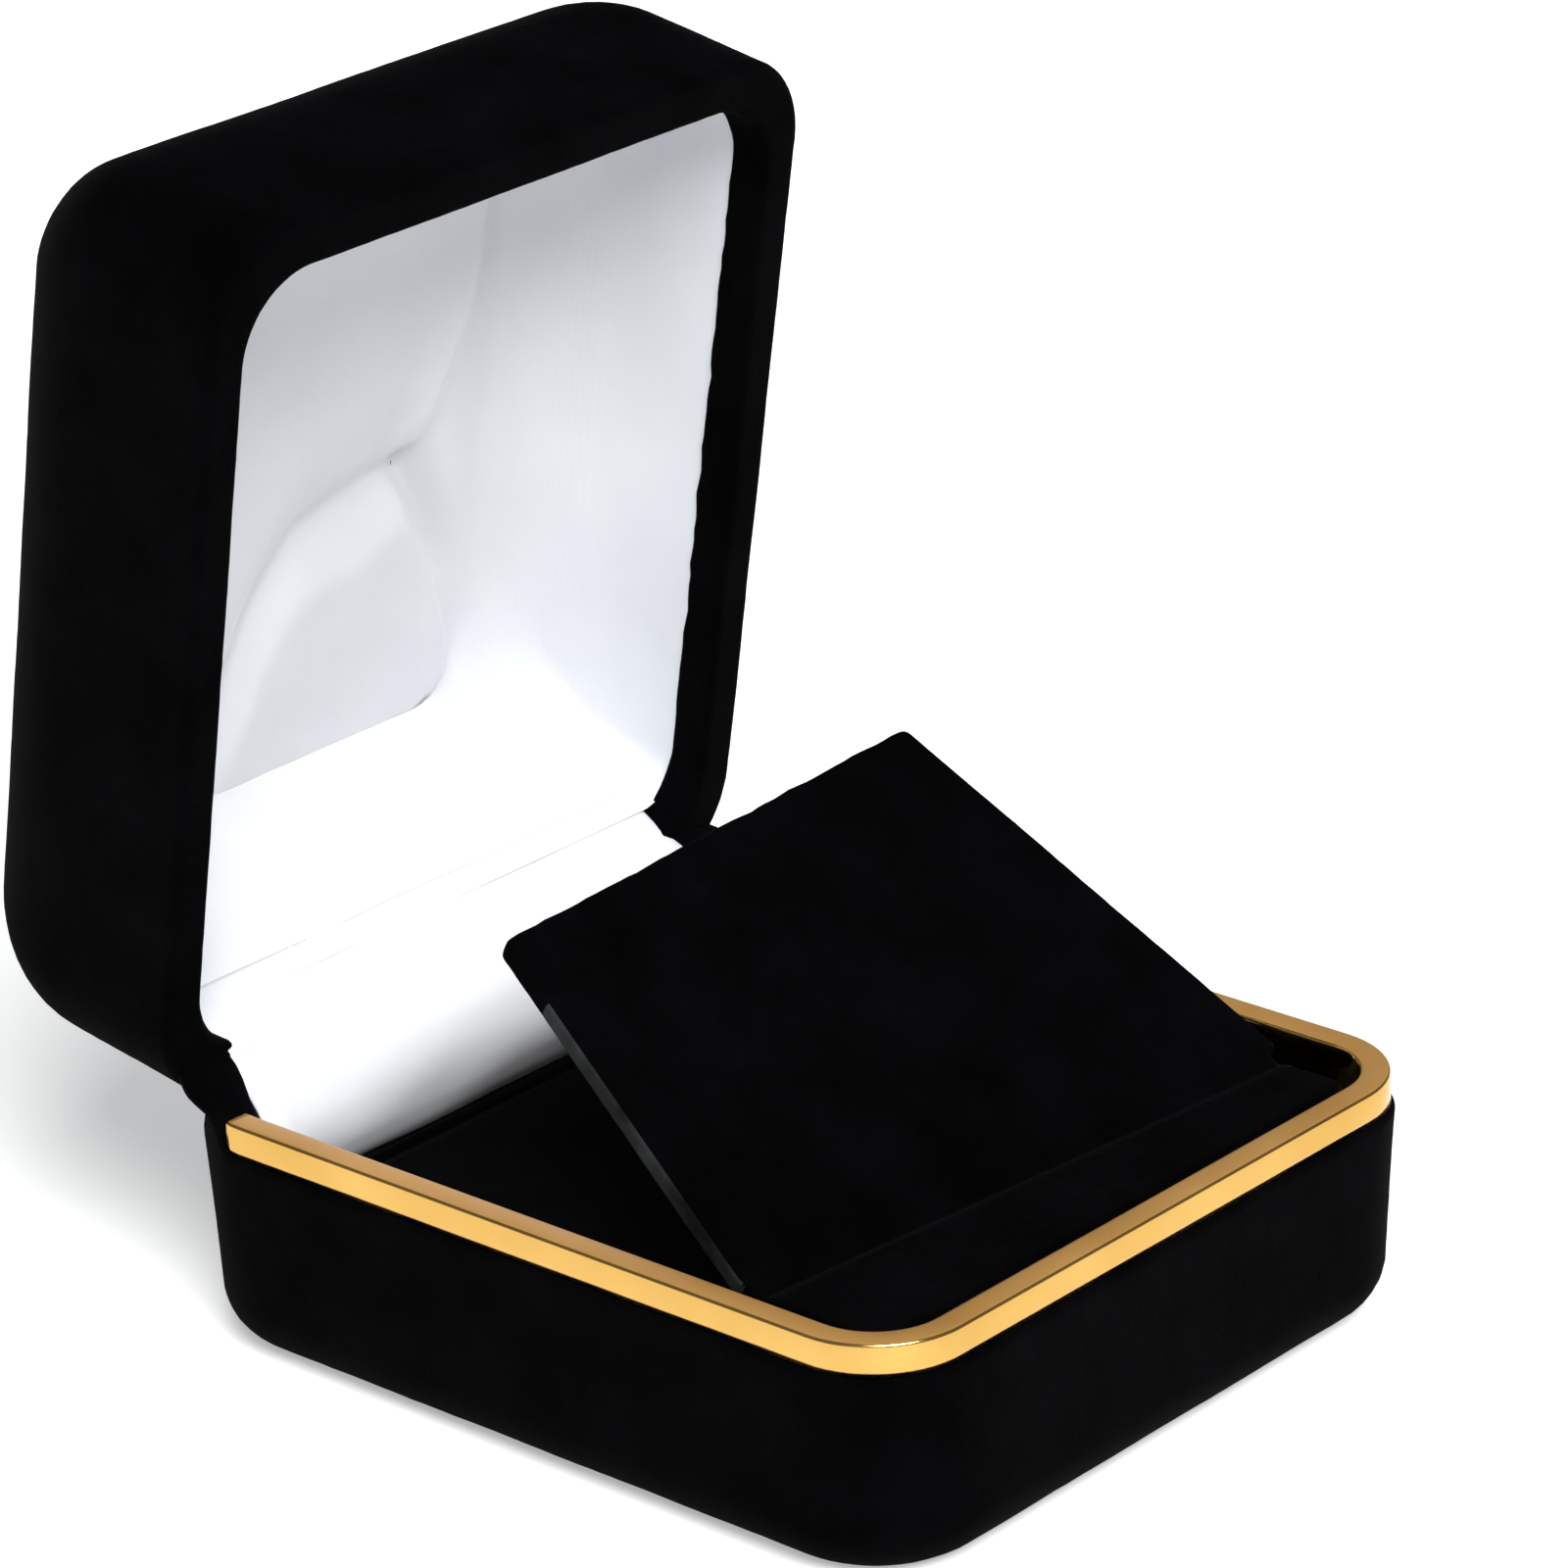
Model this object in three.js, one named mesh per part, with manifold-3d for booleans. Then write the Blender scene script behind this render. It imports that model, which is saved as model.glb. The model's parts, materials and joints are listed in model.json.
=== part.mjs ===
// A hinged jewelry gift box, standing open. Millimetres, +Z up, +X along the hinge, the front at -Y.
// The origin is the middle of the underside. Each named mesh is one physical piece.
import * as THREE from "three";
import { mergeVertices } from "three/addons/utils/BufferGeometryUtils.js";
import Module from "manifold-3d";

const wasm = await Module();
wasm.setup();

// ---- driving dimensions ----
const HALF_W = 28.575; // half the width of the closed box
const HALF_D = 32.2; // half the depth of the closed box
const SHOULDER_Z = 14.9; // top of the velvet below the gold trim
const RIM_Z = 17.4; // top of the gold trim
const BASE_CORNER_R = 7.3; // plan radius of the base's corners at the rim
const FOOT_CORNER_R = 10.7; // plan radius of the base's corners near the foot
const BASE_EDGE_R = 4.8; // rounding between the base's walls and its underside
const LID_RIM_Z = 17.7; // the lid's rim, when shut
const LID_TOP_Z = 40.7; // the top of the box, when shut
const LID_CORNER_R = 7.2; // plan radius of the lid's corners at the rim
const LID_EDGE_R = 12; // rounding between the lid's walls and its top
const LID_OPEN_DEG = 80.4; // how far the lid stands open at rest
const HINGE_Y = 30.85; // the hinge pin's axis
const HINGE_Z = 16.81;

const VELVET = 0.9; // flocked cover on the steel shells
const STEEL = 0.5; // sheet of the shells and of the trim
const SATIN = 0.5;
const LINER = 0.7; // card behind the lid's lining
const CLEAR = 0.2; // air between the layers of a wall
const GOLD_INSET = 0.3; // the trim stands this far inside the velvet's face
const GOLD_WIDTH = 2.1; // across the trim's flat top
const GOLD_END_Y = 26; // the trim stops here, short of the hinge
const GOLD_FOOT_Z = 15.2; // lower edge of the trim outside the steel
const GOLD_LIP_Z = 14.6; // lower edge of the trim inside the steel
const GOLD_BEVEL = 0.25;
const RIM_WIDTH = 3.1; // the lid's rim, from the outside to the lining
const TURN_IN = 3; // the velvet that is turned up inside the lid's rim
const TURN_IN_THICK = 0.8;
const CEILING_DROP = 4.1; // the lining's ceiling lies this far below the top of the lid
const CEILING_R = 8.7; // rounding between the lining's walls and its ceiling

const FOLD_Y = -19.7; // the flap's fold, at the middle of the box
const FOLD_Z = 16.2;
const FOLD_SKEW = 0.1; // the fold runs this far off square, mm per mm
const FLAP_UP_DEG = 31.1; // how far the flap stands up at rest
const FLAP_REAR_Y = 12.5; // the flap's free edge, when it lies flat
const FLAP_FRONT_X = [-24.5, 25]; // the ends of its front edge
const FLAP_REAR_X = [-18.4, 21.8]; // the ends of its free edge
const FLAP_FRONT = 0.9; // its front edge lies this far behind the fold
const FLAP_VELVET = 0.3;
const FLAP_CARD = 0.6;
const FLAP_GAP = 0.1;

const TRAY_Z = 4; // underside of the insert's tray
const TRAY_INSET = 3.4; // from the outside of the box to the outside of the tray
const TRAY_REAR_Y = 24.2;
const TRAY_WALL = 0.8;
const TRAY_CORNER_R = 4.8;
const PAD_Z = 11.1; // top of the pad under the flap
const PAD_THICK = 1.2;
const PAD_INSET = 1.1; // from the outside of the tray to the edge of the pad
const LEDGE_INSET = 4.5; // from the outside of the box to the fixed ledge

const PIN_R = 0.5;
const PIN_HALF = 15.6; // half the pin's length
const KNUCKLE_R = 1.1;
const RIVET_R = 0.6;
const BASE_RIVETS = { xs: [-12, 12], z: 10, y0: 28.5, head: 0.3, y1: 31.15 };
const LID_RIVETS = { xs: [-9, 9], z: 22.8, y0: 29.5, head: 0.3, y1: 31.2 };

const CORNER_STEPS = 6; // facets round a plan corner
const ROUND_STEPS = 6; // facets round an edge
const FAR = 40; // beyond the box on every side, for a block that cuts

// ---- materials ----
const finish = (color, roughness, metalness) => () =>
  new THREE.MeshStandardMaterial({ color, roughness, metalness });
const blackVelvet = finish(0x0b0b0d, 1, 0);
const gold = finish(0xd9a441, 0.25, 1);
const steel = finish(0x8d9094, 0.4, 1);
const satin = finish(0xf0f1f4, 0.45, 0);
const greyCard = finish(0x6b6661, 0.9, 0);
const foam = finish(0x3a3a3c, 1, 0);

// ---- geometry helpers ----

// One closed body from vertices and triangles, with its faces turned outwards.
function closedGeometry(points, triangles) {
  let volume = 0;
  for (let i = 0; i < triangles.length; i += 3) {
    const [a, b, c] = [points[triangles[i]], points[triangles[i + 1]], points[triangles[i + 2]]];
    volume += a.dot(b.clone().cross(c));
  }
  const index = volume < 0 ? [...triangles].reverse() : triangles;
  const geometry = new THREE.BufferGeometry().setFromPoints(points).setIndex(index);
  geometry.computeVertexNormals();
  return geometry;
}

function solidFrom(geometry) {
  const bare = geometry.clone();
  bare.deleteAttribute("normal");
  bare.deleteAttribute("uv");
  const merged = mergeVertices(bare, 1e-4);
  const vertProperties = new Float32Array(merged.attributes.position.array);
  const triVerts = new Uint32Array(merged.index.array);
  return new wasm.Manifold(new wasm.Mesh({ numProp: 3, vertProperties, triVerts }));
}

function geometryFrom(solid) {
  const { vertProperties, triVerts } = solid.getMesh();
  const geometry = new THREE.BufferGeometry();
  geometry.setAttribute("position", new THREE.BufferAttribute(vertProperties, 3));
  geometry.setIndex(new THREE.BufferAttribute(triVerts, 1));
  geometry.computeVertexNormals();
  return geometry;
}

const cut = (geometry, ...tools) =>
  geometryFrom(tools.reduce((body, tool) => body.subtract(solidFrom(tool)), solidFrom(geometry)));
const join = (geometry, ...others) =>
  geometryFrom(others.reduce((body, other) => body.add(solidFrom(other)), solidFrom(geometry)));

// A box between two corners.
function block([x0, y0, z0], [x1, y1, z1]) {
  const box = new THREE.BoxGeometry(x1 - x0, y1 - y0, z1 - z0);
  return box.translate((x0 + x1) / 2, (y0 + y1) / 2, (z0 + z1) / 2);
}

// A cylinder along X or along Y, between two places on that axis.
function rodAlongX(radius, x0, x1, y, z, sides = 16) {
  const rod = new THREE.CylinderGeometry(radius, radius, x1 - x0, sides);
  return rod.rotateZ(Math.PI / 2).translate((x0 + x1) / 2, y, z);
}
function rodAlongY(radius, y0, y1, x, z, sides = 12) {
  const rod = new THREE.CylinderGeometry(radius, radius, y1 - y0, sides);
  return rod.translate(x, (y0 + y1) / 2, z);
}

// A rounded rectangle at one height, as a ring of points.
function roundedRing({ halfW, halfD, radius, z, y = 0 }) {
  const ring = [];
  for (const [sx, sy, turn] of [[1, -1, -0.5], [1, 1, 0], [-1, 1, 0.5], [-1, -1, 1]])
    for (let i = 0; i <= CORNER_STEPS; i++) {
      const angle = (turn + (0.5 * i) / CORNER_STEPS) * Math.PI;
      const cx = sx * (halfW - radius);
      const cy = y + sy * (halfD - radius);
      ring.push(new THREE.Vector3(cx + radius * Math.cos(angle), cy + radius * Math.sin(angle), z));
    }
  return ring;
}

// Rings joined one to the next. An open stack gets a flat cap at each end; a loop closes on itself.
function ringStack(rings, loop = false) {
  const points = rings.flat();
  const n = rings[0].length;
  const triangles = [];
  const last = loop ? rings.length : rings.length - 1;
  for (let r = 0; r < last; r++)
    for (let i = 0; i < n; i++) {
      const [a, b] = [r * n + i, r * n + ((i + 1) % n)];
      const [c, d] = [((r + 1) % rings.length) * n + i, ((r + 1) % rings.length) * n + ((i + 1) % n)];
      triangles.push(a, b, d, a, d, c);
    }
  if (!loop)
    for (let i = 1; i < n - 1; i++) {
      const top = (rings.length - 1) * n;
      triangles.push(0, i + 1, i, top, top + i, top + i + 1);
    }
  return closedGeometry(points, triangles);
}

// The insets and drops of a quarter round of this radius, from the wall to the flat or back.
function quarterRound(radius, fromWall) {
  const steps = Array.from({ length: ROUND_STEPS + 1 }, (_, i) => i / ROUND_STEPS);
  const at = fromWall ? steps.map((s) => 1 - s) : steps;
  return at.map((s) => {
    const angle = (s * Math.PI) / 2;
    return [radius * (1 - Math.sin(angle)), radius * (1 - Math.cos(angle))];
  });
}

// ---- outlines of the base and the lid ----

// A ring this far inside the base's outside. Its corners are rounder towards the foot.
function baseRing(inset, z) {
  const rise = THREE.MathUtils.clamp((z - BASE_EDGE_R) / (SHOULDER_Z - BASE_EDGE_R), 0, 1);
  const outer = THREE.MathUtils.lerp(FOOT_CORNER_R, BASE_CORNER_R, rise);
  return roundedRing({
    halfW: HALF_W - inset,
    halfD: HALF_D - inset,
    radius: Math.max(outer - inset, 1),
    z,
  });
}

// A ring this far inside the lid's outside, in the lid's shut position.
function lidRing(inset, z) {
  return roundedRing({
    halfW: HALF_W - inset,
    halfD: HALF_D - inset,
    radius: Math.max(LID_CORNER_R - 0.45 * inset, 1.8),
    z,
  });
}

// The rings of a dome under the lid's top: this far inside the walls and below the top.
function dome(inset, drop, radius, inwards) {
  return quarterRound(radius, !inwards).map(([i, d]) => lidRing(inset + i, LID_TOP_Z - drop - d));
}

// A shell inside the lid, open at the rim: its outside first, then its inside.
function lidCup({ inset, thickness, bottomZ, drop, radius }) {
  return ringStack([
    ...dome(inset, drop, radius, true),
    lidRing(inset, bottomZ),
    lidRing(inset + thickness, bottomZ),
    ...dome(inset + thickness, drop + thickness, radius - thickness, false),
  ]);
}

// ---- base ----

function baseVelvet() {
  const top = RIM_Z - 0.1;
  const foot = quarterRound(BASE_EDGE_R, false).map(([i, d]) => baseRing(i, d));
  const inside = quarterRound(BASE_EDGE_R - VELVET, true).map(([i, d]) => baseRing(VELVET + i, VELVET + d));
  const brim = [[0, top - 0.3], [0.3, top], [VELVET, top]];
  const pan = ringStack([...foot, ...brim.map(([i, z]) => baseRing(i, z)), ...inside]);
  const trimStep = block([-FAR, -FAR, SHOULDER_Z], [FAR, GOLD_END_Y + 0.2, FAR]);
  const rearStep = block([-FAR, HINGE_Y - 0.95, SHOULDER_Z], [FAR, FAR, FAR]);
  return cut(pan, trimStep, rearStep);
}

function baseShell() {
  const inset = VELVET + 0.3;
  const radius = BASE_EDGE_R - inset;
  const foot = quarterRound(radius, false).map(([i, d]) => baseRing(inset + i, inset + d));
  const floor = inset + STEEL;
  const inside = quarterRound(radius - STEEL, true).map(([i, d]) => baseRing(floor + i, floor + d));
  const pan = ringStack([...foot, baseRing(inset, RIM_Z - 0.8), baseRing(floor, RIM_Z - 0.8), ...inside]);
  const rearStep = block([-FAR, HINGE_Y - 1.95, SHOULDER_Z - 0.4], [FAR, FAR, FAR]);
  return cut(pan, rearStep, ...rivetHoles(BASE_RIVETS));
}

// A channel of gilded metal over the steel's edge, along the two sides and the front.
function goldTrim() {
  const outer = GOLD_INSET;
  const inner = GOLD_INSET + GOLD_WIDTH;
  const section = [
    [outer, GOLD_FOOT_Z],
    [outer, RIM_Z - GOLD_BEVEL],
    [outer + GOLD_BEVEL, RIM_Z],
    [inner - GOLD_BEVEL, RIM_Z],
    [inner, RIM_Z - GOLD_BEVEL],
    [inner, GOLD_LIP_Z],
    [inner - STEEL, GOLD_LIP_Z],
    [inner - STEEL, RIM_Z - STEEL],
    [outer + STEEL, RIM_Z - STEEL],
    [outer + STEEL, GOLD_FOOT_Z],
  ];
  const ring = ringStack(section.map(([inset, z]) => baseRing(inset, z)), true);
  return cut(ring, block([-FAR, GOLD_END_Y, 0], [FAR, FAR, FAR]));
}

// ---- hinge ----

function rivetHoles({ xs, z }) {
  return xs.map((x) => rodAlongY(RIVET_R + 0.1, HINGE_Y - 10, FAR, x, z));
}

function rivet({ z, y0, head, y1 }, x) {
  return join(rodAlongY(RIVET_R * 2, y0, y0 + head, x, z), rodAlongY(RIVET_R, y0 + head / 2, y1, x, z));
}

// A leaf: its plate, a tower at each knuckle, the knuckles, and the bore for the pin.
function hingeLeaf({ halfWidth, y0, y1, z0, z1, knuckles, towerZ, reach, rivets }) {
  const plate = block([-halfWidth, y0, z0], [halfWidth, y1, z1]);
  const towerFoot = Math.min(z1, towerZ) - 0.2;
  const towerHead = Math.max(z0, towerZ);
  const towers = knuckles.map(([a, b]) => block([a, y0, towerFoot], [b, y1, towerHead]));
  const bridges = knuckles.map(([a, b]) => block([a, y0, reach[0]], [b, HINGE_Y - 0.7, reach[1]]));
  const barrels = knuckles.map(([a, b]) => rodAlongX(KNUCKLE_R, a, b, HINGE_Y, HINGE_Z, 20));
  const bore = rodAlongX(PIN_R + 0.12, -20, 20, HINGE_Y, HINGE_Z, 20);
  return cut(join(plate, ...towers, ...bridges, ...barrels), bore, ...rivetHoles(rivets));
}

const baseLeaf = () =>
  hingeLeaf({
    halfWidth: 15,
    y0: 28.9,
    y1: 29.5,
    z0: 7,
    z1: 14.6,
    knuckles: [[-15, -11], [11, 15]],
    towerZ: HINGE_Z + 0.4,
    reach: [HINGE_Z - 0.5, HINGE_Z + 0.4],
    rivets: BASE_RIVETS,
  });

const lidLeaf = () =>
  hingeLeaf({
    halfWidth: 10.7,
    y0: 29.95,
    y1: 30.35,
    z0: HINGE_Z + 1.6,
    z1: 24.6,
    knuckles: [[-10.7, -7], [7, 10.7]],
    towerZ: HINGE_Z + 1.8,
    reach: [HINGE_Z + 0.5, HINGE_Z + 1.8],
    rivets: LID_RIVETS,
  });

// A torsion spring round the pin. One leg presses on the base's leaf and one on the lid's.
function hingeSpring() {
  const wire = 0.17;
  const coil = PIN_R + 0.12 + wire;
  const turns = 7;
  const halfLength = 5.6;
  const legX = halfLength + 0.3;
  const path = [new THREE.Vector3(-legX, 28.55, 11.5), new THREE.Vector3(-legX, 28.6, 14.9)];
  const steps = turns * 10;
  for (let i = 0; i <= steps; i++) {
    const angle = Math.PI - (i / steps) * turns * 2 * Math.PI;
    const x = THREE.MathUtils.lerp(-halfLength, halfLength, i / steps);
    path.push(new THREE.Vector3(x, HINGE_Y + coil * Math.cos(angle), HINGE_Z + coil * Math.sin(angle)));
  }
  path.push(new THREE.Vector3(legX, 31.2, 18.3), new THREE.Vector3(legX, 32.2, 18.35));
  const section = new THREE.Shape().absarc(0, 0, wire, 0, 2 * Math.PI);
  const extrudePath = new THREE.CatmullRomCurve3(path, false, "centripetal");
  const spring = new THREE.ExtrudeGeometry(section, { extrudePath, steps: 110, curveSegments: 3 });
  return geometryFrom(solidFrom(spring));
}

// ---- insert ----

// The tray's plan, this far inside its outside.
function trayRing(inset, z) {
  const frontY = TRAY_INSET - HALF_D;
  return roundedRing({
    halfW: HALF_W - TRAY_INSET - inset,
    halfD: (TRAY_REAR_Y - frontY) / 2 - inset,
    radius: TRAY_CORNER_R - inset,
    z,
    y: (TRAY_REAR_Y + frontY) / 2,
  });
}

function insertTray() {
  const top = FOLD_Z - 1.9;
  const tray = ringStack([
    trayRing(0, TRAY_Z),
    trayRing(0, top),
    trayRing(TRAY_WALL, top),
    trayRing(TRAY_WALL, TRAY_Z + TRAY_WALL),
  ]);
  return cut(tray, block([-FAR, TRAY_REAR_Y - 3.7, PAD_Z + 0.2], [FAR, FAR, FAR]));
}

const slabInTray = (z0, z1) => ringStack([trayRing(PAD_INSET, z0), trayRing(PAD_INSET, z1)]);

// An outline in plan, as a slab whose top is at this height.
function skewedSlab(outline, topZ, thickness) {
  const slab = new THREE.ExtrudeGeometry(new THREE.Shape(outline), { depth: thickness, bevelEnabled: false });
  return slab.translate(0, 0, topZ - thickness);
}

const foldY = (x, offset) => FOLD_Y - FOLD_SKEW * x + offset;
const corner = (x, y) => new THREE.Vector2(x, y);

// One layer of the fixed ledge in front of the fold.
function insertLedge(thickness, topZ, inset) {
  const half = HALF_W - LEDGE_INSET - inset;
  const front = -HALF_D + LEDGE_INSET + inset;
  const back = -FLAP_FRONT - inset;
  const outline = [
    corner(-half + 2, front),
    corner(half - 2, front),
    corner(half, front + 2),
    corner(half, foldY(half, back)),
    corner(-half, foldY(-half, back)),
    corner(-half, front + 2),
  ];
  return skewedSlab(outline, topZ, thickness);
}

// The flap is a trapezoid. This is its outline, this far inside its edges and this far behind the fold.
function flapOutline(inset, front) {
  const sideX = (side, y) => {
    const frontY = foldY(FLAP_FRONT_X[side], FLAP_FRONT);
    const along = (y - frontY) / (FLAP_REAR_Y - frontY);
    const edge = THREE.MathUtils.lerp(FLAP_FRONT_X[side], FLAP_REAR_X[side], along);
    return edge + (side === 0 ? inset : -inset);
  };
  const rear = FLAP_REAR_Y - inset;
  const frontLeft = foldY(FLAP_FRONT_X[0], front);
  const frontRight = foldY(FLAP_FRONT_X[1], front);
  return [
    corner(sideX(0, frontLeft), frontLeft),
    corner(sideX(1, frontRight), frontRight),
    corner(sideX(1, rear - 1), rear - 1),
    corner(sideX(1, rear) - 1, rear),
    corner(sideX(0, rear) + 1, rear),
    corner(sideX(0, rear - 1), rear - 1),
  ];
}

const flapThickness = 2 * (FLAP_VELVET + FLAP_GAP) + FLAP_CARD;

function flapVelvet() {
  const skin = skewedSlab(flapOutline(0, FLAP_FRONT), FOLD_Z, flapThickness);
  const pocketOutline = flapOutline(FLAP_VELVET, 0.4);
  const pocketDepth = FLAP_CARD + 2 * FLAP_GAP;
  const pocket = skewedSlab(pocketOutline, FOLD_Z - FLAP_VELVET, pocketDepth);
  return cut(skin, pocket);
}

function flapCard() {
  const inset = FLAP_VELVET + FLAP_GAP;
  return skewedSlab(flapOutline(inset, 1.3), FOLD_Z - inset, FLAP_CARD);
}

// The velvet that joins the ledge to the flap, rolled along the fold.
function flapFold() {
  const length = 48;
  const roll = new THREE.CylinderGeometry(0.5, 0.5, length, 12).rotateZ(Math.PI / 2);
  return roll.rotateZ(-Math.atan(FOLD_SKEW)).translate(0, FOLD_Y, FOLD_Z - flapThickness / 2);
}

// A satin-covered strip that hides the hinge, from the insert up over the knuckles to the lid's lining.
function hingeApron() {
  const halfWidth = 21;
  const thickness = 0.5;
  const face = [
    [24.9, 11.6],
    [25.5, 13.6],
    [26.7, 16],
    [28.3, 18.3],
    [30.4, 19.5],
    [33.4, 20.1],
    [36.4, 20.6],
  ];
  const curve = new THREE.SplineCurve(face.map(([y, z]) => corner(y, z)));
  const front = curve.getPoints(14);
  const back = front.map((point, i) => {
    const tangent = curve.getTangent(i / 14);
    return corner(point.x + tangent.y * thickness, point.y - tangent.x * thickness);
  });
  const outline = new THREE.Shape([...front, ...back.reverse()]);
  const strip = new THREE.ExtrudeGeometry(outline, { depth: 2 * halfWidth, bevelEnabled: false });
  // The outline's (x, y) becomes (y, z), and its depth runs along x.
  const turn = new THREE.Matrix4().makeBasis(
    new THREE.Vector3(0, 1, 0),
    new THREE.Vector3(0, 0, 1),
    new THREE.Vector3(1, 0, 0),
  );
  return strip.applyMatrix4(turn).translate(-halfWidth, 0, 0);
}

// ---- lid, in its shut position ----

function lidVelvet() {
  const lip = [
    [0, LID_RIM_Z + 0.5],
    [0.15, LID_RIM_Z + 0.15],
    [0.5, LID_RIM_Z],
    [RIM_WIDTH - 0.4, LID_RIM_Z],
    [RIM_WIDTH, LID_RIM_Z + 0.4],
    [RIM_WIDTH, LID_RIM_Z + TURN_IN],
    [RIM_WIDTH - TURN_IN_THICK, LID_RIM_Z + TURN_IN],
    [RIM_WIDTH - TURN_IN_THICK, LID_RIM_Z + VELVET],
    [VELVET, LID_RIM_Z + VELVET],
  ];
  const cover = ringStack([
    ...dome(0, 0, LID_EDGE_R, true),
    ...lip.map(([inset, z]) => lidRing(inset, z)),
    ...dome(VELVET, VELVET, LID_EDGE_R - VELVET, false),
  ]);
  return cut(cover, block([-15.8, 28, 10], [15.8, FAR, LID_RIM_Z + 1.1]));
}

function lidShell() {
  const inset = VELVET + CLEAR;
  const cup = lidCup({
    inset,
    thickness: STEEL,
    bottomZ: LID_RIM_Z + 1.2,
    drop: inset,
    radius: LID_EDGE_R - inset,
  });
  return cut(cup, ...rivetHoles(LID_RIVETS));
}

function lidLiner() {
  const inset = VELVET + STEEL + 2 * CLEAR;
  const bottomZ = LID_RIM_Z + TURN_IN + 0.3;
  const cup = lidCup({ inset, thickness: LINER, bottomZ, drop: inset, radius: LID_EDGE_R - inset });
  return cut(cup, block([-12, 20, 10], [12, FAR, 25.4]));
}

const lidPuff = () =>
  ringStack([37, 38].map((z) => roundedRing({ halfW: 15, halfD: 18.5, radius: 3, z })));

const lidSatin = () =>
  lidCup({
    inset: RIM_WIDTH - 0.3,
    thickness: SATIN,
    bottomZ: LID_RIM_Z + TURN_IN + 0.3,
    drop: CEILING_DROP,
    radius: CEILING_R,
  });

// ---- assembly ----

function place(group, name, geometry, material) {
  const mesh = new THREE.Mesh(geometry, material());
  mesh.name = name;
  group.add(mesh);
}

// A group that turns what is drawn in box coordinates about a line through the given point.
function turnedAbout(point, axis, degrees) {
  const group = new THREE.Group();
  const inner = new THREE.Group();
  group.position.copy(point);
  group.quaternion.setFromAxisAngle(axis, THREE.MathUtils.degToRad(degrees));
  inner.position.copy(point).negate();
  group.add(inner);
  return { group, inner };
}

const box = new THREE.Group();
place(box, "base_velvet", baseVelvet(), blackVelvet);
place(box, "base_shell", baseShell(), steel);
place(box, "gold_trim", goldTrim(), gold);
place(box, "hinge_leaf_base", baseLeaf(), steel);
place(box, "hinge_pin", rodAlongX(PIN_R, -PIN_HALF, PIN_HALF, HINGE_Y, HINGE_Z), steel);
place(box, "hinge_spring", hingeSpring(), steel);
place(box, "hinge_apron", hingeApron(), satin);
BASE_RIVETS.xs.forEach((x, i) =>
  place(box, ["base_rivet_left", "base_rivet_right"][i], rivet(BASE_RIVETS, x), steel),
);
place(box, "insert_tray", insertTray(), blackVelvet);
place(box, "insert_foam", slabInTray(TRAY_Z + TRAY_WALL + 0.3, PAD_Z - PAD_THICK - 0.3), foam);
place(box, "insert_pad", slabInTray(PAD_Z - PAD_THICK, PAD_Z), blackVelvet);
place(box, "ledge_foam", insertLedge(3, FOLD_Z - 1.8, 0.4), foam);
place(box, "ledge_card", insertLedge(0.6, FOLD_Z - 0.9, 0.2), greyCard);
place(box, "ledge_velvet", insertLedge(0.5, FOLD_Z - 0.2, 0), blackVelvet);
place(box, "flap_fold", flapFold(), blackVelvet);

const foldPoint = new THREE.Vector3(0, FOLD_Y, FOLD_Z);
const foldAxis = new THREE.Vector3(1, -FOLD_SKEW, 0).normalize();
const flap = turnedAbout(foldPoint, foldAxis, FLAP_UP_DEG);
place(flap.inner, "flap_velvet", flapVelvet(), blackVelvet);
place(flap.inner, "flap_card", flapCard(), greyCard);
box.add(flap.group);

const hingePoint = new THREE.Vector3(0, HINGE_Y, HINGE_Z);
const lid = turnedAbout(hingePoint, new THREE.Vector3(-1, 0, 0), LID_OPEN_DEG);
place(lid.inner, "lid_velvet", lidVelvet(), blackVelvet);
place(lid.inner, "lid_shell", lidShell(), steel);
place(lid.inner, "lid_liner", lidLiner(), greyCard);
place(lid.inner, "lid_puff", lidPuff(), foam);
place(lid.inner, "lid_satin", lidSatin(), satin);
place(lid.inner, "hinge_leaf_lid", lidLeaf(), steel);
LID_RIVETS.xs.forEach((x, i) =>
  place(lid.inner, ["lid_rivet_left", "lid_rivet_right"][i], rivet(LID_RIVETS, x), steel),
);
box.add(lid.group);

export default box;
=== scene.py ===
import json
import math

import bpy
import numpy as np
from mathutils import Matrix, Vector, noise


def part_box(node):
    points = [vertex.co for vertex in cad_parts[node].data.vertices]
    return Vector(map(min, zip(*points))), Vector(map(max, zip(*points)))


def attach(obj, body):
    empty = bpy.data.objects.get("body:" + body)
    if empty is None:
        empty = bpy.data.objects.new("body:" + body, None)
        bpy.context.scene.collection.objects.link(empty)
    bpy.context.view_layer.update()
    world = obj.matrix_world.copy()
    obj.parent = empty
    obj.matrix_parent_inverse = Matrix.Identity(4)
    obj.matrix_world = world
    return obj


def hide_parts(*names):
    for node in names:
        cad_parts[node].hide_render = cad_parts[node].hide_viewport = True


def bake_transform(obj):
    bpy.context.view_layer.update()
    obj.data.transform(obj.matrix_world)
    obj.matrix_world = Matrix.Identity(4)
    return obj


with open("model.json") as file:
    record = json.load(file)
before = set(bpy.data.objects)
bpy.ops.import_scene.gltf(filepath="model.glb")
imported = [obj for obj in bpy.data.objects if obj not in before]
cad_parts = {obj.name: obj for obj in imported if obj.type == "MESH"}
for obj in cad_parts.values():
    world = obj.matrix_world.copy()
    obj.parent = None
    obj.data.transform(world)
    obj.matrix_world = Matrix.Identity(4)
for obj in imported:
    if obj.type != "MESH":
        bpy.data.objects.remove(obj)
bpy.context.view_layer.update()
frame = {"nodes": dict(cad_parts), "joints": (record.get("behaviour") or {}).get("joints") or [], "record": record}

MM = 0.001
nodes = frame["nodes"]
joints = {joint["name"]: joint for joint in frame["joints"]}


# ---- places taken from the frame ----

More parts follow.
